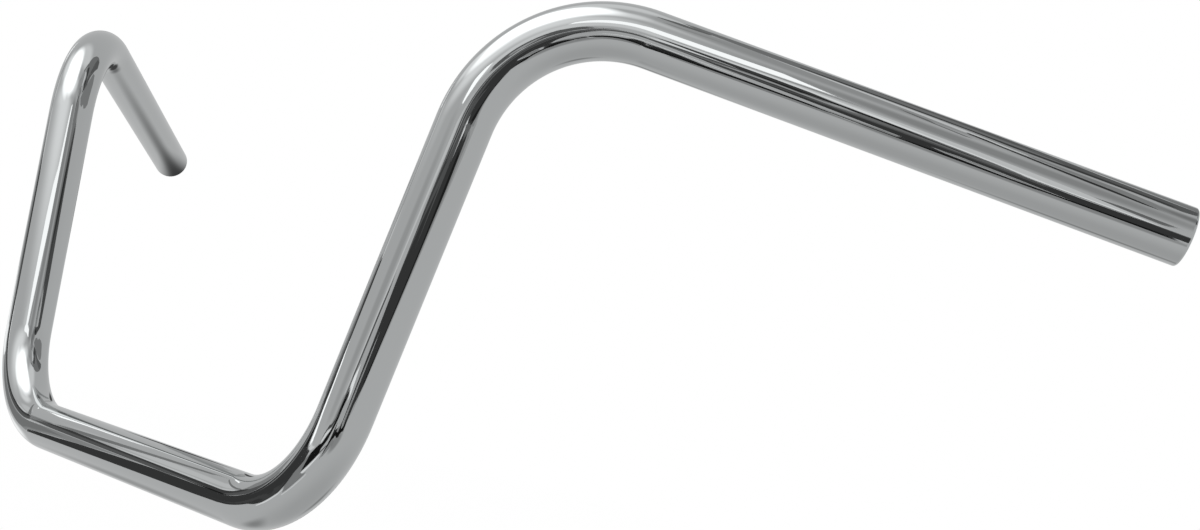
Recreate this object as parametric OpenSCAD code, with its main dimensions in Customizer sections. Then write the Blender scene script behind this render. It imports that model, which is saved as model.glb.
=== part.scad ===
// Ape hanger handlebar: one steel tube with four bends, open at both ends.
// The origin is the middle of the straight run that the risers clamp.
// +X runs along the clamped run to one grip, +Y points back towards the rider and +Z points up.

/* [Tube] */
// Outside diameter of the tube
tube_od = 25.4; // [22:0.1:32]
// Thickness of the tube's wall
tube_wall = 2.4; // [2:0.1:4]

/* [Straight runs] */
// Length of the straight middle run, between its two bends
clamp_run = 210; // [120:1:300]
// Length of each straight upright, between its two bends
upright_run = 137; // [60:1:400]
// Length of each straight grip run, from its bend to the tube's end
grip_run = 234; // [150:1:320]

/* [Bends] */
// Radius of all four bends, to the middle of the tube, as one bending die makes them
bend_r = 63.5; // [50:0.5:90]
// Angle that a lower bend turns through, from the middle run into the upright
lower_bend = 77.5; // [60:0.5:95]
// Angle that the grips sweep back from straight sideways, seen from above
grip_sweep = 41; // [15:1:60]
// Angle that the grips drop below level towards their ends
grip_drop = 8; // [0:0.5:20]

/* [Ends] */
// Radius on the outer edge of each open end
outer_edge_r = 1.2; // [0.4:0.1:1.4]
// Radius on the inner edge of each open end
inner_edge_r = 0.5; // [0.2:0.1:0.5]

/* [Hidden] */
$fn = 96;
chrome = [0.74, 0.75, 0.75];

tube_r = tube_od / 2;
bore_r = tube_r - tube_wall;

// Rounded to six significant figures
function six_figures(v) =
    v == 0 ? 0 : let (unit = pow(10, floor(ln(abs(v)) / ln(10)) - 5)) round(v / unit) * unit;

// How much a turn would stretch the tube if its sine and cosine were held to six figures
function stretch(angle) = abs(pow(six_figures(cos(angle)), 2) + pow(six_figures(sin(angle)), 2) - 1);

// The turn that stretches the tube least, within a twentieth of a degree of the one wanted,
// so that the tube has one diameter all along and each piece meets the next without a step
function true_turn(angle) =
    let (
        turns = [for (i = [-500 : 500]) angle + i / 10000],
        stretches = [for (turn = turns) stretch(turn)]
    )
    turns[search(min(stretches), stretches)[0]];

// Where the tube points on the +X side: up the upright, and out along the grip run
upright_dir = [cos(lower_bend), 0, sin(lower_bend)];
grip_dir = [
    cos(grip_sweep) * cos(grip_drop),
    sin(grip_sweep) * cos(grip_drop),
    -sin(grip_drop)
];
inward_dir = [-sin(lower_bend), 0, cos(lower_bend)];

lower_turn = true_turn(lower_bend);
// The upper bend turns from the one into the other
upper_turn = true_turn(acos(upright_dir * grip_dir));
// The tube is rolled this far about its own line between its two bends
roll = true_turn(atan2(-grip_dir[1], inward_dir * grip_dir));

// Every run and bend below starts at the origin with the tube's line along +Z,
// and puts its children at its far end, with their own line along +Z.

// Cross-section of the tube
module tube_section() {
    difference() {
        circle(r = tube_r);
        circle(r = bore_r);
    }
}

// Straight length of tube
module run(length) {
    linear_extrude(length) tube_section();
    translate([0, 0, length]) children();
}

// Half of the space round a bend's centre: all of it that lies at y below 0
module behind_start() {
    reach = bend_r + tube_od;
    translate([-reach, -reach, -tube_od]) cube([2 * reach, reach, 2 * tube_od]);
}

// Stretch of a ring, cut off square at both ends, that turns the tube towards +X
module bend(angle) {
    translate([bend_r, 0, 0]) {
        rotate([90, 0, 0]) difference() {
            rotate_extrude() translate([bend_r, 0]) tube_section();
            behind_start();
            rotate([0, 0, -angle]) mirror([0, 1, 0]) behind_start();
        }
        rotate([0, angle, 0]) translate([-bend_r, 0, 0]) children();
    }
}

// Last straight run, open at its end, with both edges of the end rounded
module end_run(length) {
    rotate_extrude() {
        polygon([
            [bore_r, 0],
            [tube_r, 0],
            [tube_r, length - outer_edge_r],
            [tube_r - outer_edge_r, length],
            [bore_r + inner_edge_r, length],
            [bore_r, length - inner_edge_r]
        ]);
        translate([tube_r - outer_edge_r, length - outer_edge_r]) circle(r = outer_edge_r);
        translate([bore_r + inner_edge_r, length - inner_edge_r]) circle(r = inner_edge_r);
    }
}

// The tube from the middle of the clamped run to the end of one grip run
module half_bar() {
    rotate([0, 90, 0]) rotate([0, 0, 180])
        run(clamp_run / 2)
            bend(lower_turn)
                run(upright_run)
                    rotate([0, 0, roll])
                        bend(upper_turn)
                            end_run(grip_run);
}

// The whole bar, the same on both sides
module handlebar() {
    color(chrome) {
        half_bar();
        mirror([1, 0, 0]) half_bar();
    }
}

handlebar();
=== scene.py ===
import math

import bpy
from mathutils import Matrix, Vector


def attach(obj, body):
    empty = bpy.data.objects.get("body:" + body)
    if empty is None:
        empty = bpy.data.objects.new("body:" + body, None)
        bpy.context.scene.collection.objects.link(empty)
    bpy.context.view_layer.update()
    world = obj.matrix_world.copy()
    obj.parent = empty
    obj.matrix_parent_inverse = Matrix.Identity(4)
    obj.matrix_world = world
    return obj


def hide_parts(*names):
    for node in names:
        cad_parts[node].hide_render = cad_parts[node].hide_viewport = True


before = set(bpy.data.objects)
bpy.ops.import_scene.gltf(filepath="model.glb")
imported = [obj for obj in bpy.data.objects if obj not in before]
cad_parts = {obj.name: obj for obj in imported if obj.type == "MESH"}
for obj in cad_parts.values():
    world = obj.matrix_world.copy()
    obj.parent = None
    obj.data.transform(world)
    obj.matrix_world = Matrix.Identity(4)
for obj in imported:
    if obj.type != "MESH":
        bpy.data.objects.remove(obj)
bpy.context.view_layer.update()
print("frame loaded")


# Shader maths as Python expressions: a wrapped socket with the usual operators.
class Wire:
    def __init__(self, graph, socket):
        self.graph = graph
        self.socket = socket

    def maths(self, operation, *others):
        return self.graph.node("ShaderNodeMath", {"operation": operation}, dict(enumerate((self,) + others)))

    def __add__(self, other):
        return self.maths("ADD", other)

    def __radd__(self, other):
        return self.maths("ADD", other)

    def __sub__(self, other):
        return self.maths("SUBTRACT", other)

    def __rsub__(self, other):
        return self.graph.number(other).maths("SUBTRACT", self)

    def __mul__(self, other):
        return self.maths("MULTIPLY", other)

    def __rmul__(self, other):
        return self.maths("MULTIPLY", other)

    def __truediv__(self, other):
        return self.maths("DIVIDE", other)

    def __rtruediv__(self, other):
        return self.graph.number(other).maths("DIVIDE", self)

    def __pow__(self, other):
        return self.maths("POWER", other)

    def dot(self, vector):
        return self.graph.node(
            "ShaderNodeVectorMath", {"operation": "DOT_PRODUCT"}, {0: self, 1: tuple(vector)}, "Value"
        )

    def between(self, low, high):
        # 0 below low, 1 above high, smooth in between
        return self.graph.node(
            "ShaderNodeMapRange",
            {"interpolation_type": "SMOOTHSTEP"},
            {"Value": self, "From Min": low, "From Max": high},
        )


class Graph:
    def __init__(self, owner):
        owner.use_nodes = True
        self.tree = owner.node_tree
        self.tree.nodes.clear()

    def node(self, kind, settings=None, sockets=None, output=0):
        made = self.tree.nodes.new(kind)
        for name, value in (settings or {}).items():
            setattr(made, name, value)
        for name, value in (sockets or {}).items():
            if isinstance(value, Wire):
                self.tree.links.new(value.socket, made.inputs[name])
            else:
                made.inputs[name].default_value = value
        if not made.outputs:
            return made
        return Wire(self, made.outputs[output])

    def number(self, value):
        wire = self.node("ShaderNodeValue")
        wire.socket.default_value = value
        return wire


def newMaterial(name):
    material = bpy.data.materials.new(name)
    return material, Graph(material)


def activate(piece):
    bpy.ops.object.select_all(action="DESELECT")
    piece.select_set(True)
    bpy.context.view_layer.objects.active = piece


# The bar: one tube swept from the rider's right end to the left, then given its wall and rounded ends
upright = Vector((0.215608, 0, 0.97648))
gripAway = Vector((0.747968, 0.649176, -0.138254))
mirror = Vector((-1, 1, 1))
tube = {
    "name": "bar",
    "radius": 0.0127,
    "wall": 0.0024,
    "bendRadius": 0.0635,
    "end": Vector((-0.43117, 0.192061, 0.203082)),
    "sides": 120,
    "degreesPerRing": 2,
    "ringGap": 0.0117,
    "outerRound": 0.0012,
    "innerRound": 0.0005,
    "roundSteps": 6,
    "mergeWithin": 0.00001,
    "rimTolerance": 0.0002,
    "smoothBelow": 40,
    # Direction and length of each straight run, with a bend between each two
    "runs": [
        (-gripAway * mirror, 0.234),
        (-upright * mirror, 0.137),
        (Vector((1, 0, 0)), 0.21),
        (upright, 0.137),
        (gripAway, 0.234),
    ],
}


def buildTube(tube):
    direction = tube["runs"][0][0].normalized()
    turned = direction.to_track_quat("Z", "Y").to_euler()
    bpy.ops.object.select_all(action="DESELECT")
    bpy.ops.mesh.primitive_circle_add(
        vertices=tube["sides"], radius=tube["radius"], location=tube["end"], rotation=turned
    )
    piece = bpy.context.object
    piece.name = tube["name"]
    bpy.ops.object.transform_apply(location=True, rotation=True, scale=True)
    bpy.ops.object.mode_set(mode="EDIT")
    bpy.ops.mesh.select_all(action="SELECT")
    place = tube["end"].copy()
    travelled = [0.0]
    for index, (run, length) in enumerate(tube["runs"]):
        run = run.normalized()
        steps = round(length / tube["ringGap"])
        for _ in range(steps):
            bpy.ops.mesh.extrude_region_move(TRANSFORM_OT_translate={"value": run * length / steps})
            travelled.append(travelled[-1] + length / steps)
        place += run * length
        if index + 1 == len(tube["runs"]):
            break
        following = tube["runs"][index + 1][0].normalized()
        turn = run.angle(following)
        inward = (following - run * run.dot(following)).normalized()
        centre = place + inward * tube["bendRadius"]
        steps = round(math.degrees(turn) / tube["degreesPerRing"])
        bpy.ops.mesh.spin(steps=steps, angle=-turn, center=centre, axis=run.cross(inward))
        for _ in range(steps):
            travelled.append(travelled[-1] + turn * tube["bendRadius"] / steps)
        place = centre + (run * math.sin(turn) - inward * math.cos(turn)) * tube["bendRadius"]
    bpy.ops.object.mode_set(mode="OBJECT")
    print("tube ends at", tuple(round(value, 5) for value in place), "rings", len(travelled))
    return piece, travelled


bar, travelled = buildTube(tube)

# Each vertex keeps its place in the straight tube, before it was bent
unbent = bar.data.attributes.new("unbent", "FLOAT_VECTOR", "POINT")
for vertex in bar.data.vertices:
    ring, side = divmod(vertex.index, tube["sides"])
    turn = 2 * math.pi * side / tube["sides"]
    unbent.data[vertex.index].vector = (
        tube["radius"] * math.cos(turn), tube["radius"] * math.sin(turn), travelled[ring]
    )

activate(bar)
bpy.ops.object.mode_set(mode="EDIT")
bpy.ops.mesh.select_all(action="SELECT")
bpy.ops.mesh.remove_doubles(threshold=tube["mergeWithin"])
bpy.ops.mesh.normals_make_consistent(inside=False)
bpy.ops.object.mode_set(mode="OBJECT")
print("bar swept")

wall = bar.modifiers.new("wall", "SOLIDIFY")
wall.thickness = tube["wall"]
wall.offset = -1
wall.material_offset = 1
wall.material_offset_rim = 0

# Polished chrome outside, bare tube inside
chromeLook = {
    "colour": (0.55, 0.56, 0.56, 1),
    "roughness": 0.02,
    "haze": 0.02,
    "polishLines": 0.012,
    "dullLip": 0.1,
    "lipLength": 0.002,
    "rippleHeight": 0.00003,
    # Scale of each noise across and along the tube, and its detail
    "hazeNoise": (40, 25, 3),
    "lineNoise": (900, 15, 2),
    "rippleNoise": (60, 90, 1),
    # The noise values between which haze and lines come up
    "hazeSpan": (0.35, 0.7),
    "lineSpan": (0.4, 0.7),
    # How far past the grip run, and past grip run plus upright, the ripples rise and fade
    "upperRipples": (0, 0.02, 0.08, 0.1),
    "lowerRipples": (0.08, 0.12, 0.17, 0.19),
}
steelLook = {"colour": (0.32, 0.31, 0.3, 1), "metallic": 0.4, "roughness": 0.6}


def makeChrome(look, tube, travelled):
    material, graph = newMaterial("chrome")
    unbent = graph.node("ShaderNodeAttribute", {"attribute_name": "unbent"}, {}, "Vector")

    def noise(across, along, detail):
        stretched = graph.node(
            "ShaderNodeVectorMath", {"operation": "MULTIPLY"}, {0: unbent, 1: (across, across, along)}
        )
        return graph.node("ShaderNodeTexNoise", {}, {"Vector": stretched, "Scale": 1, "Detail": detail}, 0)

    distance = graph.node("ShaderNodeSeparateXYZ", {}, {0: unbent}, "Z")
    fromEnd = distance.maths("MINIMUM", travelled[-1] - distance)
    lip = 1 - fromEnd.between(0, look["lipLength"])
    haze = noise(*look["hazeNoise"]).between(*look["hazeSpan"])
    lines = noise(*look["lineNoise"]).between(*look["lineSpan"])
    roughness = look["roughness"] + look["haze"] * haze + look["polishLines"] * lines + look["dullLip"] * lip

    # Faint ripples where the tube was bent
    def within(distance, span):
        return distance.between(span[0], span[1]) * (1 - distance.between(span[2], span[3]))

    lengths = [length for _, length in tube["runs"]]
    upper = within(fromEnd - lengths[0], look["upperRipples"])
    lower = within(fromEnd - lengths[0] - lengths[1], look["lowerRipples"])
    ripples = noise(*look["rippleNoise"]) * (upper + lower)
    bump = graph.node("ShaderNodeBump", {}, {"Height": ripples, "Distance": look["rippleHeight"]})
    shader = graph.node(
        "ShaderNodeBsdfPrincipled",
        {},
        {"Base Color": look["colour"], "Metallic": 1, "Roughness": roughness, "Normal": bump},
    )
    graph.node("ShaderNodeOutputMaterial", {}, {"Surface": shader})
    return material


def makeBareSteel(look):
    material, graph = newMaterial("bareSteel")
    shader = graph.node(
        "ShaderNodeBsdfPrincipled",
        {},
        {"Base Color": look["colour"], "Metallic": look["metallic"], "Roughness": look["roughness"]},
    )
    graph.node("ShaderNodeOutputMaterial", {}, {"Surface": shader})
    return material


bar.data.materials.append(makeChrome(chromeLook, tube, travelled))
bar.data.materials.append(makeBareSteel(steelLook))
bpy.ops.object.modifier_apply(modifier="wall")


def roundRim(piece, tube, radius, width):
    # Bevels the rim edges that lie at this distance from the tube's own line, at both ends
    close = tube["rimTolerance"]
    activate(piece)
    bpy.ops.object.mode_set(mode="EDIT")
    bpy.ops.mesh.select_mode(type="EDGE")
    bpy.ops.mesh.select_all(action="DESELECT")
    bpy.ops.object.mode_set(mode="OBJECT")
    for middle, along in ((tube["end"], gripAway * mirror), (tube["end"] * mirror, gripAway)):
        for edge in piece.data.edges:
            ends = [piece.data.vertices[index].co - middle for index in edge.vertices]
            if all(abs(end.dot(along)) < close and abs(end.length - radius) < close for end in ends):
                edge.select = True
    bpy.ops.object.mode_set(mode="EDIT")
    bpy.ops.mesh.bevel(offset=width, segments=tube["roundSteps"], profile=0.5, affect="EDGES")
    bpy.ops.object.mode_set(mode="OBJECT")


roundRim(bar, tube, tube["radius"], tube["outerRound"])
roundRim(bar, tube, tube["radius"] - tube["wall"], tube["innerRound"])
activate(bar)
bpy.ops.object.shade_smooth_by_angle(angle=math.radians(tube["smoothBelow"]))
trueNormals = bar.modifiers.new("trueNormals", "WEIGHTED_NORMAL")
trueNormals.keep_sharp = True
bpy.ops.object.modifier_apply(modifier="trueNormals")
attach(bar, "root")
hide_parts("handlebar")
print("bar finished", len(bar.data.polygons), "faces")

# Camera, as the photograph was taken
view = {
    "place": Vector((0.7283, -0.3962, 0.0629)),
    "right": Vector((0.6805, 0.6919, 0.2413)).normalized(),
    "forward": Vector((-0.7279, 0.6761, 0.1141)).normalized(),
    "lens": 46.46,
    "sensor": 36,
    "nearest": 0.01,
}
upInView = view["right"].cross(view["forward"])
bpy.ops.object.camera_add(location=view["place"])
camera = bpy.context.object
camera.rotation_euler = Matrix((view["right"], upInView, -view["forward"])).transposed().to_euler()
camera.data.lens = view["lens"]
camera.data.sensor_width = view["sensor"]
camera.data.clip_start = view["nearest"]
bpy.context.scene.camera = camera
print("camera set")


# Studio: a glowing pale grey tent round the bar, with painted glows and painted shades on its emission, and
# glowing panels of other greys hung inside it. They are painted reflections: only reflections show them.
# Azimuths and elevations are in
# degrees as the camera sees them: azimuth 0 is behind the camera, and grows to the right of the picture.
tent = {
    "name": "tent",
    "radius": 1.4,
    "segments": 64,
    "rings": 32,
    "middle": Vector((0, 0.06, 0.11)),
    "tint": (0.985, 0.995, 1, 1),
    # Brightness low down, all round and high up, and the heights in radians between which it changes
    "below": 0.56,
    "level": 0.67,
    "above": 0.63,
    "lowChange": (-1.4, -0.6),
    "highChange": (-0.17, 0.35),
    # How far inside the tent the first painted-reflection panel hangs, and each later one inside the one
    # before
    "panelGap": 0.02,
    "panelStep": 0.001,
    "panelCuts": 3,
    # Name, azimuth, elevation, half width, half height, tilt, brightness and softness
    "paintedGlowsAndShades": [
        ("behind", 180, 10, 60, 40, 0, 0.62, 0.8),
        ("endShade", -172, -18, 14, 14, 0, 0.23, 0.9),
        ("upperBack", 165, 80, 40, 18, 0, 0.95, 0.6),
        ("glow", -42, 44, 60, 20, 0, 1.15, 0.7),
        ("skylightSkirt", 8, 61, 17, 14, 0, 1.1, 0.7),
        ("skylightWest", -110, 45, 16, 11, 0, 1.1, 0.7),
        ("skylightFoot", -67, 50, 27, 10, 0, 1.8, 0.6),
        ("skylight", -62, 70, 36, 24, 0, 2.2, 0.35),
        ("paleMiddle", -8, 22, 26, 9, 0, 0.95, 0.6),
        ("rightShade", 29, 31, 14, 22, 0, 0.38, 0.7),
        ("rightHaze", 53, 30, 12, 18, 0, 0.27, 0.7),
        ("arcShade", 75, 58, 28, 15, 0, 0.45, 0.5),
        ("hazeLeft", -38, 8, 17, 13, 0, 0.5, 0.7),
        ("lowHaze", -22, -8, 12, 8, 0, 0.38, 0.7),
        ("leftGlow", -134, -14, 14, 8, 0, 1.2, 0.8),
        ("paleUpperLeft", -114, 27, 9, 6, 0, 0.8, 0.5),
        ("leftShade", -138, -28, 14, 7, 0, 0.45, 0.8),
        ("lowShade", -124, -55, 24, 11, -12, 0.36, 0.9),
        ("backLowShade", 158, -54, 14, 10, 0, 0.33, 0.9),
        ("underShade", 4, -29, 14, 8, 0, 0.38, 0.6),
    ],
}
tentTurn = Matrix((view["right"], view["forward"], upInView)).transposed()


def inTent(azimuth, elevation):
    across = math.radians(azimuth)
    above = math.radians(elevation)
    return Vector((math.sin(across) * math.cos(above), -math.cos(across) * math.cos(above), math.sin(above)))


def showInReflectionsOnly(piece, material):
    material.cycles.emission_sampling = "NONE"
    piece.data.materials.append(material)
    piece.visible_camera = False
    piece.visible_diffuse = False
    piece.visible_shadow = False


def makeTent(tent):
    bpy.ops.object.select_all(action="DESELECT")
    bpy.ops.mesh.primitive_uv_sphere_add(
        segments=tent["segments"],
        ring_count=tent["rings"],
        radius=tent["radius"],
        location=tent["middle"],
        rotation=tentTurn.to_euler(),
    )
    dome = bpy.context.object
    dome.name = tent["name"]
    bpy.ops.object.shade_smooth()
    material, graph = newMaterial("paintedReflectionTent")
    place = graph.node("ShaderNodeTexCoord", {}, {}, "Object")
    outward = graph.node("ShaderNodeVectorMath", {"operation": "NORMALIZE"}, {0: place})
    height = graph.node("ShaderNodeSeparateXYZ", {}, {0: outward}, "Z").maths("ARCSINE")
    level = tent["below"] + (tent["level"] - tent["below"]) * height.between(*tent["lowChange"])
    level = level + (tent["above"] - tent["level"]) * height.between(*tent["highChange"])
    # Each entry paints a glow or a shade onto the tent's emission: a painted reflection seen only in the
    # chrome
    for name, azimuth, elevation, width, tall, tilt, brightness, softness in tent["paintedGlowsAndShades"]:
        middle = inTent(azimuth, elevation)
        right = Vector((math.cos(math.radians(azimuth)), math.sin(math.radians(azimuth)), 0))
        up = right.cross(-middle)
        lean = math.radians(tilt)
        axes = (
            (right * math.cos(lean) + up * math.sin(lean), math.sin(math.radians(width))),
            (up * math.cos(lean) - right * math.sin(lean), math.sin(math.radians(tall))),
        )
        parts = [outward.dot(axis) / size for axis, size in axes]
        edge = (parts[0] * parts[0] + parts[1] * parts[1]) ** 0.5
        mask = (1 - edge.between(1 - softness, 1)) * outward.dot(middle).maths("GREATER_THAN", 0)
        level = level + (brightness - level) * mask
    glow = graph.node("ShaderNodeEmission", {}, {"Color": tent["tint"], "Strength": level})
    graph.node("ShaderNodeOutputMaterial", {}, {"Surface": glow})
    showInReflectionsOnly(dome, material)
    return dome


makeTent(tent)
print("tent set up")
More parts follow.
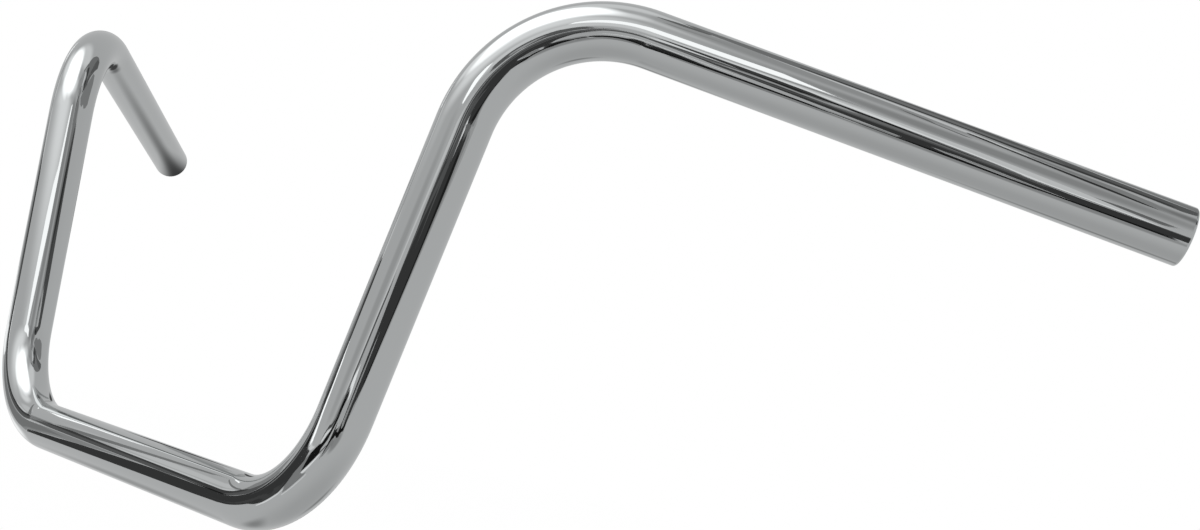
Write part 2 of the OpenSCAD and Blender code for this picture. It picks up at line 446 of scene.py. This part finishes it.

# Painted reflections: glowing panels, seen only in reflections, that paint the chrome's highlights and dark
# reflections.
# Name, brightness, and corners as azimuth and elevation. Each hangs just in front of the one before it in
# this list.
paintedReflections = [
    ("farMild", 0.3, [
        (66, 38), (72, 40), (88, 41), (100, 40), (112, 38.5), (122, 36), (128, 30), (127, 24), (115, 17),
        (104, 18), (92, 21), (86, 26), (78, 26), (70, 30)
    ]),
    ("upperDark", 0.25, [
        (95, 42), (88, 47), (92, 56), (90, 62), (104, 66), (120, 63.5), (130, 59), (136, 51), (139, 42),
        (140, 33), (137, 30), (133, 32), (124, 37), (110, 41)
    ]),
    ("upperDarkFoot", 0.15, [
        (68, 41.5), (84, 48), (100, 47), (125, 45.5), (136, 42), (139, 34), (136, 30), (125, 36),
        (110, 41), (95, 40.5), (82, 41)
    ]),
    ("upperWedge", 0.07, [
        (74, 43), (79, 51), (88, 53), (93, 58), (97, 61), (105, 60), (106, 57), (100, 53), (92, 50),
        (88, 46), (80, 43)
    ]),
    ("streakShine", 0.85, [
        (60, 46), (66, 49), (72, 51.5), (78, 53), (84, 55), (89, 60), (86, 64), (78, 60), (70, 55),
        (62, 51)
    ]),
    ("streakUnder", 0.34, [
        (46, 34.5), (50, 38.5), (55, 43.5), (61, 47.5), (67, 49), (66, 44), (60, 41), (53, 38), (47, 34)
    ]),
    ("streak", 0.05, [
        (42.5, 33), (45, 38), (50, 43.5), (55, 47.5), (60, 50.5), (67, 52), (66, 50.8), (60, 48.5),
        (55, 44.5), (50, 39), (46, 35), (43.5, 32.5)
    ]),
    ("secondStreak", 0.22, [(43, 44), (47, 48), (52, 51.5), (59, 54), (56, 51.5), (50, 49), (46, 45)]),
    ("thinArc", 0.2, [(74, 69.5), (90, 69), (102, 67.5), (108, 66), (104, 65), (90, 66.5), (75, 67.8)]),
    ("thinArcEnd", 0.4, [(42, 63), (50, 65), (60, 64.5), (60, 63), (50, 63), (42, 62)]),
    ("rightDark", 0.1, [
        (51, 23), (55, 28), (62, 28.5), (68, 26), (72, 20), (78, 13), (80, 9), (72, 8), (64, 15),
        (58, 18), (54, 19)
    ]),
    ("rightDarkCore", 0.04, [(55, 26), (62, 27), (64, 22), (57, 20)]),
    ("lamp", 1.7, [
        (-10, 33), (-4, 35), (6, 35.5), (12, 38), (22, 40.5), (20, 36), (18, 30.5), (10, 27.5), (3, 25.5),
        (-5, 26.5), (-10, 29)
    ]),
    ("underLamp", 0.4, [(2, 23), (8, 25), (15, 28), (18, 27.5), (15, 25.5), (8, 24), (3, 22)]),
    ("besideGlow", 0.85, [
        (2, 20), (6, 22.5), (14, 23), (20, 20), (21, 12), (20, 3), (19, -4), (12, -2), (12, 9), (8, 17)
    ]),
    ("petalGlow", 1.12, [
        (2, 20), (6, 21.5), (10, 21.5), (13, 18), (14.5, 10), (15, 2), (19, 0), (18.5, -4.5), (15, -5),
        (13, -2), (13, 4), (12, 9), (9.5, 13), (8.5, 17), (5, 19)
    ]),
    ("rightSpot", 0.2, [(21, 10), (23.5, 12), (25, 9), (22, 4), (21, 2.5), (20.5, 6)]),
    ("wisp", 1.8, [
        (-32, 25), (-28, 26), (-24, 24.5), (-22, 20), (-20, 15), (-22, 14), (-26, 16), (-29, 20)
    ]),
    ("leftPetal", 0.15, [(-16, 16), (-14, 18), (-9, 18), (-6, 14), (-5.5, 6), (-8, 8), (-12, 11)]),
    ("leftPetalCore", 0.5, [(-12, 14), (-9, 14), (-7.5, 8), (-10, 11)]),
    ("petalShade", 0.22, [(-8, 1), (-4, 7), (0, 9.5), (6, 9), (10, 5), (12, 0), (5, -2), (-6, -1)]),
    ("petalStreak", 0.5, [
        (-4, 1.5), (0, 6.5), (2, 7), (4, 5), (7, 9.5), (6, 5), (3, 1.5), (1, 4), (-1, 2)
    ]),
    ("petalWedge", 1.05, [(-4.5, 9), (-2, 12.5), (0, 13), (0.5, 11), (-1, 9.5), (-5, 6.5)]),
    ("petalLine", 0.12, [(-8, 1), (-6, 5), (-4, 7), (0, 9.5), (1, 8), (-3, 5), (-6, 2)]),
    ("petal", 0.07, [
        (-2, 14), (0, 16.5), (3, 17.5), (7, 18), (8.5, 16.5), (8, 13), (7, 11), (4, 7.5), (3, 5.5),
        (2, 8), (1, 11), (-1, 12.5)
    ]),
    ("petalEdge", 0.03, [
        (5.5, 10), (8, 13), (10, 12), (12, 9), (13, 4), (13, 0), (11, 1), (10, 5), (7.5, 7.5), (6, 8.5)
    ]),
    ("bodyShine", 0.6, [
        (-11, -5), (-8, -2), (-6, -3), (-3.5, -8), (-1.5, -11.5), (0, -15), (-2, -17), (-4, -15),
        (-8, -14), (-11, -10.5), (-12.5, -8)
    ]),
    ("bodyShade", 0.35, [
        (-5, -16), (-2, -17), (0, -15), (1, -20), (-2, -24), (-1, -29), (-6, -29), (-4, -22)
    ]),
    ("bodyFade", 0.52, [
        (14, -4), (25, -6.8), (36, -10), (45, -12), (45, -14.5), (38, -16), (33, -18), (28, -20),
        (20, -21.5), (14, -20)
    ]),
    ("bodyFadeInner", 0.38, [
        (16, -5), (26, -7.5), (35, -10.6), (39, -12), (37, -14.5), (33, -16.5), (28, -18.5), (20, -20)
    ]),
    ("body", 0.055, [
        (-6, 0), (-2, 0.5), (4, -0.5), (11, -1), (12.5, -3), (14, -5), (19, -4.5), (25, -6.8), (31, -9.8),
        (33, -13), (29, -17), (22, -20.5), (15, -19.5), (14, -25.5), (10.5, -24.5), (8.5, -19), (7, -14),
        (5.5, -11.5), (3.5, -13), (3, -16.5), (5, -20.5), (6.5, -24.5), (5.5, -26.5), (0, -25),
        (-2, -23.5), (-0.5, -19), (1, -15), (-1, -11.5), (-3, -8), (-5.5, -4)
    ]),
    ("bodyPale", 0.13, [(-5, -1), (2, -0.5), (11, -1.5), (12.5, -5), (11, -9), (8, -4), (0, -3), (-5, -4)]),
    ("bodyFoot", 0.02, [(0, -19.5), (3, -19), (5, -23), (6, -26), (1, -24.5), (-1.5, -23)]),
    ("bodyHeel", 0.03, [(12, -20), (15, -19), (14, -25), (11, -24)]),
    ("bodyCorner", 0.02, [
        (24, -8), (30.5, -10.5), (31, -13.5), (27, -17), (22, -20.5), (15, -19.5), (22, -18), (26, -14)
    ]),
    ("bodyBlob", 0.08, [(-6, 1), (-3, 2), (0, 3), (3, 1.5), (0, -0.5), (-4, -1.5)]),
    ("bodyStreak", 0.35, [(4, -12), (6, -13), (8.5, -20), (9, -24), (7, -22), (5, -18), (3.5, -15)]),
    ("bodyLine", 0.2, [
        (2, 2.5), (15, -1.5), (25, -6), (40, -10.3), (50, -12), (50, -13), (38, -10.8), (24, -7.5),
        (14, -3), (2, 1.5)
    ]),
    ("lowPale", 0.35, [
        (-18, -26), (-14, -22.5), (-10, -21), (-6, -22.5), (-4, -27), (-12, -29), (-20, -29.5)
    ]),
    ("lowStreak", 0.03, [
        (-23, -29), (-20, -25), (-15.5, -18), (-14, -14), (-12, -11.5), (-11, -12), (-11, -16), (-8, -16),
        (-5, -17), (-5, -21), (-6, -22.5), (-10, -21), (-14, -22.5), (-18, -26), (-22, -29)
    ]),
    ("gapGrey", 0.32, [
        (-66, -10), (-59, -8), (-53, -9), (-52, -19.5), (-48, -23), (-44, -26), (-39, -28), (-42, -29),
        (-52, -28.5), (-62, -28), (-64, -22), (-66, -18)
    ]),
    ("gapStreak", 0.25, [(-60, -27), (-50, -27.5), (-40, -28), (-41, -29), (-50, -28.8), (-59, -28.5)]),
    ("gapShine", 0.95, [(-62, -30), (-50, -30.8), (-37, -31), (-36, -32.5), (-50, -33), (-61, -32)]),
    ("leftGrey", 0.36, [
        (-113, 7.5), (-104.5, 8), (-107, 0), (-111, -7), (-115, -12), (-117, -9), (-113.5, -3),
        (-112.5, 3)
    ]),
    ("leftGreyBlob", 0.27, [
        (-110, 7), (-115, 4.5), (-121, 0), (-122, -5), (-118, -9), (-114, -8), (-110, -4), (-108, 2)
    ]),
    ("leftDark", 0.055, [
        (-103.5, 8), (-100, 10), (-92, 9.5), (-85, 7), (-78, 4), (-70, 0), (-60, -4.5), (-59, -9),
        (-66, -10), (-66, -17), (-68, -21), (-80, -21), (-84, -18), (-89, -12.5), (-94, -10.5),
        (-100, -10), (-103, -12), (-109, -12.5), (-115, -13), (-112, -8.5), (-109, -4.5), (-106, 2)
    ]),
    ("leftDarkPale", 0.08, [
        (-101, -5), (-90, -4), (-80, -8), (-70, -12), (-69, -19), (-79, -19), (-84, -16), (-89, -10)
    ]),
    ("leftDarkEdge", 0.015, [
        (-103, 15), (-99, 11.5), (-92, 10), (-85, 7.5), (-79, 4.8), (-80, 3.5), (-86, 5.5), (-93, 8),
        (-99, 9.5), (-104, 10)
    ]),
    ("leftDarkSpot", 0.25, [(-99, 9), (-94, 9.5), (-92, 7), (-94, 4), (-98, 4.5)]),
    ("leftLine", 1.8, [
        (-100, 14.5), (-94, 13.5), (-88, 12.5), (-80, 9), (-72, 4.5), (-67, 1), (-70, 0.8), (-78, 5),
        (-85, 8.5), (-92, 10.7), (-99, 12.5)
    ]),
    ("leftLineTail", 1.05, [(-67, 1), (-60, -3), (-52, -6.5), (-50, -8), (-60, -4.7), (-68, -0.5)]),
    ("leftRim", 1.1, [
        (-82, -21.5), (-76, -22.5), (-68, -22.5), (-66, -21), (-64, -22), (-67, -25), (-76, -25.5),
        (-82, -23.5)
    ]),
    ("leftHead", 0.14, [(-113.5, 15.5), (-104, 15), (-101, 12), (-103, 8.5), (-110, 9), (-112, 11)]),
    ("leftHeadWest", 0.35, [(-126, 9), (-126, 16), (-115, 18), (-113, 15), (-112, 9.5), (-118, 8.5)]),
    ("leftHeadLine", 0.07, [
        (-114, 18.5), (-110, 18), (-104, 19), (-100, 17), (-96, 13), (-90, 11), (-90, 9.5), (-97, 9.5),
        (-102, 13), (-106, 15), (-111, 14.5), (-114, 15)
    ]),
    ("leftHeadShine", 0.85, [(-112, 20), (-107, 22), (-103, 20.5), (-104, 18.7), (-110, 18.2)]),
    ("leftShine", 1.35, [
        (-139, 3), (-134, 5), (-125, 5), (-117, 6), (-110, 8), (-112, 6), (-120, 2.5), (-127, 0),
        (-134, -1), (-139, -0.5)
    ]),
    ("leftArc", 0.28, [
        (-133, 36), (-126, 34.5), (-120, 30), (-116, 25), (-113, 19), (-115, 18), (-119, 24),
        (-123, 29.5), (-128, 33.5)
    ]),
    ("backArc", 0.45, [
        (-154, 30), (-160, 25), (-164, 18), (-164, 11), (-162, 12), (-161, 18), (-158, 24), (-154, 28)
    ]),
    ("haloLeft", 0.85, [
        (-26, -3), (-24, 1), (-20, 5), (-15, 9), (-9, 7.5), (-8, 5), (-14, 3.5), (-18, 2), (-21, -1),
        (-23, -4)
    ]),
    ("middleDark", 0.012, [
        (-53, -9), (-45, -10), (-40, -11), (-35, -13), (-30, -12), (-24, -11), (-20, -8), (-16, -6.5),
        (-12, -8), (-18, -13), (-22, -17), (-30, -18), (-30, -21.5), (-40, -21), (-52, -19.5)
    ]),
    ("middleTail", 0.15, [(-30, -20), (-20, -21), (-17, -22), (-20, -22.5), (-30, -21.7)]),
    ("middleSlit", 1.1, [
        (-39, -10), (-36, -8), (-32, -8.5), (-27, -9), (-23, -9.5), (-26, -11), (-31, -11), (-36, -12)
    ]),
    ("upperMiddle", 0.1, [
        (-42, -9), (-38, -6), (-33, -5), (-28, -6.5), (-22, -6), (-18, -4), (-17, -7), (-24, -9),
        (-29, -8.3), (-34, -7), (-38, -8)
    ]),
    ("oval", 0.13, [(-21.5, -3.5), (-19.5, -0.5), (-16, 0.5), (-14, -1.5), (-16, -3.5), (-18, -5.2)]),
    ("thinDark", 0.01, [(-20, -6), (-16, -6.3), (-10, -9), (-13, -8.8), (-18, -7.2)]),
    ("thinLine", 1.3, [(-17, -5.2), (-12, -6.5), (-6, -10.5), (-7, -10.7), (-12, -8), (-17, -5.8)]),
    ("lowLine", 1.15, [
        (-50, -20.7), (-40, -22), (-28, -22.7), (-25, -24), (-36, -25), (-44, -25), (-48, -23)
    ]),
    ("spark", 1.7, [
        (-142, 34), (-140, 31), (-137, 30), (-135, 27.5), (-132, 26), (-137, 25), (-139, 27.5),
        (-141, 30.5)
    ]),
    ("gripLine", 0.01, [
        (-20, -24), (-16, -21.5), (-12, -18.7), (-6, -18.5), (-2, -20.5), (3, -21.5), (8, -20.5),
        (13, -19.5), (15, -21), (12, -24), (6, -24.7), (0, -24.3), (-5, -21.5), (-11, -22), (-15, -24.3),
        (-20, -26)
    ]),
    ("gripShade", 0.21, [(10.5, 8.5), (13, 8), (14, 5), (13.8, 1), (13, -2), (11.5, -2), (11, 2)]),
    ("gripVein", 0.012, [
        (1.5, 10.6), (5, 11.3), (7, 10.8), (9, 9.6), (10.5, 7.2), (11.6, 4), (12.2, 1.5), (11.2, 1.5),
        (9.8, 4.8), (8.5, 7), (6.5, 8.6), (4, 9), (1.5, 9.2)
    ]),
]


def cutReflectionPanel(name, brightness, corners, radius, cuts):
    bpy.ops.object.select_all(action="DESELECT")
    bpy.ops.mesh.primitive_circle_add(vertices=len(corners), fill_type="NGON")
    reflectionPanel = bpy.context.object
    reflectionPanel.name = name
    for vertex, corner in zip(reflectionPanel.data.vertices, corners):
        vertex.co = inTent(*corner) * radius
    bpy.ops.object.mode_set(mode="EDIT")
    bpy.ops.mesh.select_all(action="SELECT")
    bpy.ops.mesh.quads_convert_to_tris(quad_method="BEAUTY", ngon_method="BEAUTY")
    bpy.ops.mesh.subdivide(number_cuts=cuts)
    bpy.ops.object.mode_set(mode="OBJECT")
    for vertex in reflectionPanel.data.vertices:
        vertex.co = vertex.co.normalized() * radius
    level = reflectionPanel.data.attributes.new("level", "FLOAT", "POINT")
    for value in level.data:
        value.value = brightness
    return reflectionPanel


def hangPaintedReflections(tent, paintedReflections):
    pieces = []
    for order, (name, brightness, corners) in enumerate(paintedReflections):
        radius = tent["radius"] - tent["panelGap"] - tent["panelStep"] * order
        pieces.append(cutReflectionPanel(name, brightness, corners, radius, tent["panelCuts"]))
    bpy.ops.object.select_all(action="DESELECT")
    for piece in pieces:
        piece.select_set(True)
    bpy.context.view_layer.objects.active = pieces[0]
    bpy.ops.object.join()
    hung = bpy.context.object
    hung.name = "paintedReflections"
    hung.location = tent["middle"]
    hung.rotation_euler = tentTurn.to_euler()
    # Each panel glows at its own brightness: painted highlights and painted dark reflections, seen only in
    # the chrome
    material, graph = newMaterial("paintedReflections")
    level = graph.node("ShaderNodeAttribute", {"attribute_name": "level"}, {}, "Fac")
    glow = graph.node("ShaderNodeEmission", {}, {"Color": tent["tint"], "Strength": level})
    graph.node("ShaderNodeOutputMaterial", {}, {"Surface": glow})
    showInReflectionsOnly(hung, material)
    return hung


hangPaintedReflections(tent, paintedReflections)
print("cloths hung")

# A small dark glowing disc past the end of the far grip, soft at its rim, seen only in reflections: a
# painted dark reflection on the last of that grip. It is dark out to its core and clear at its reach.
darkReflectionDisc = {
    "name": "darkReflectionDisc",
    "place": Vector((-0.4961, 0.2652, 0.1734)),
    "facing": gripAway * mirror,
    "core": 0.028,
    "reach": 0.061,
    "sides": 64,
    "level": 0.07,
}


def hangDarkReflectionDisc(darkReflectionDisc, tint):
    bpy.ops.object.select_all(action="DESELECT")
    bpy.ops.mesh.primitive_circle_add(vertices=darkReflectionDisc["sides"], radius=darkReflectionDisc["reach"], fill_type="NGON")
    disc = bpy.context.object
    disc.name = darkReflectionDisc["name"]
    disc.location = darkReflectionDisc["place"]
    disc.rotation_euler = darkReflectionDisc["facing"].to_track_quat("Z", "Y").to_euler()
    material, graph = newMaterial("darkReflectionDisc")
    spot = graph.node("ShaderNodeTexCoord", {}, {}, "Object")
    distance = graph.node("ShaderNodeVectorMath", {"operation": "LENGTH"}, {0: spot}, "Value")
    clearing = distance.between(darkReflectionDisc["core"], darkReflectionDisc["reach"])
    clear = graph.node("ShaderNodeBsdfTransparent")
    # Painted dark reflection: a dim glow that only the chrome's reflections show
    dark = graph.node("ShaderNodeEmission", {}, {"Color": tint, "Strength": darkReflectionDisc["level"]})
    reflectionPanel = graph.node("ShaderNodeMixShader", {}, {0: clearing, 1: dark, 2: clear})
    graph.node("ShaderNodeOutputMaterial", {}, {"Surface": reflectionPanel})
    showInReflectionsOnly(disc, material)
    return disc


hangDarkReflectionDisc(darkReflectionDisc, tent["tint"])
print("flag hung")

# Floor, lamp and world: a plain pale grey light, and white in what the camera and reflections see directly
ground = {"name": "floor", "size": 60, "height": -1.32, "colour": (0.8, 0.8, 0.8, 1), "lift": 0.21}
overhead = {"name": "overhead", "leans": (8, -10, 0), "strength": 1.4, "spread": 3}
surroundings = {"name": "studio", "colour": (1, 1, 1, 1), "level": 0.55, "lift": 0.45}


def seenDirectly(graph):
    path = graph.node("ShaderNodeLightPath", {}, {}, "Is Camera Ray")
    glossy = Wire(graph, path.socket.node.outputs["Is Glossy Ray"])
    through = Wire(graph, path.socket.node.outputs["Is Transmission Ray"])
    return path.maths("MAXIMUM", glossy).maths("MAXIMUM", through)


def layFloor(ground):
    bpy.ops.object.select_all(action="DESELECT")
    bpy.ops.mesh.primitive_plane_add(size=ground["size"], location=(0, 0, ground["height"]))
    floor = bpy.context.object
    floor.name = ground["name"]
    material, graph = newMaterial("floorPaint")
    paint = graph.node("ShaderNodeBsdfDiffuse", {}, {"Color": ground["colour"]})
    strength = ground["lift"] * seenDirectly(graph)
    lift = graph.node("ShaderNodeEmission", {}, {"Color": (1, 1, 1, 1), "Strength": strength})
    both = graph.node("ShaderNodeAddShader", {}, {0: paint, 1: lift})
    graph.node("ShaderNodeOutputMaterial", {}, {"Surface": both})
    floor.data.materials.append(material)
    return floor


def hangLamp(overhead):
    # Gives the floor its soft shadow, and stays out of the reflections
    bpy.ops.object.light_add(type="SUN", rotation=[math.radians(lean) for lean in overhead["leans"]])
    lamp = bpy.context.object
    lamp.name = overhead["name"]
    lamp.data.energy = overhead["strength"]
    lamp.data.angle = math.radians(overhead["spread"])
    lamp.visible_glossy = False


def makeWorld(surroundings):
    world = bpy.data.worlds.new(surroundings["name"])
    bpy.context.scene.world = world
    graph = Graph(world)
    strength = surroundings["level"] + surroundings["lift"] * seenDirectly(graph)
    sky = graph.node("ShaderNodeBackground", {}, {"Color": surroundings["colour"], "Strength": strength})
    graph.node("ShaderNodeOutputWorld", {}, {"Surface": sky})


layFloor(ground)
hangLamp(overhead)
makeWorld(surroundings)
bpy.context.scene.view_settings.view_transform = "Standard"
print("studio set")
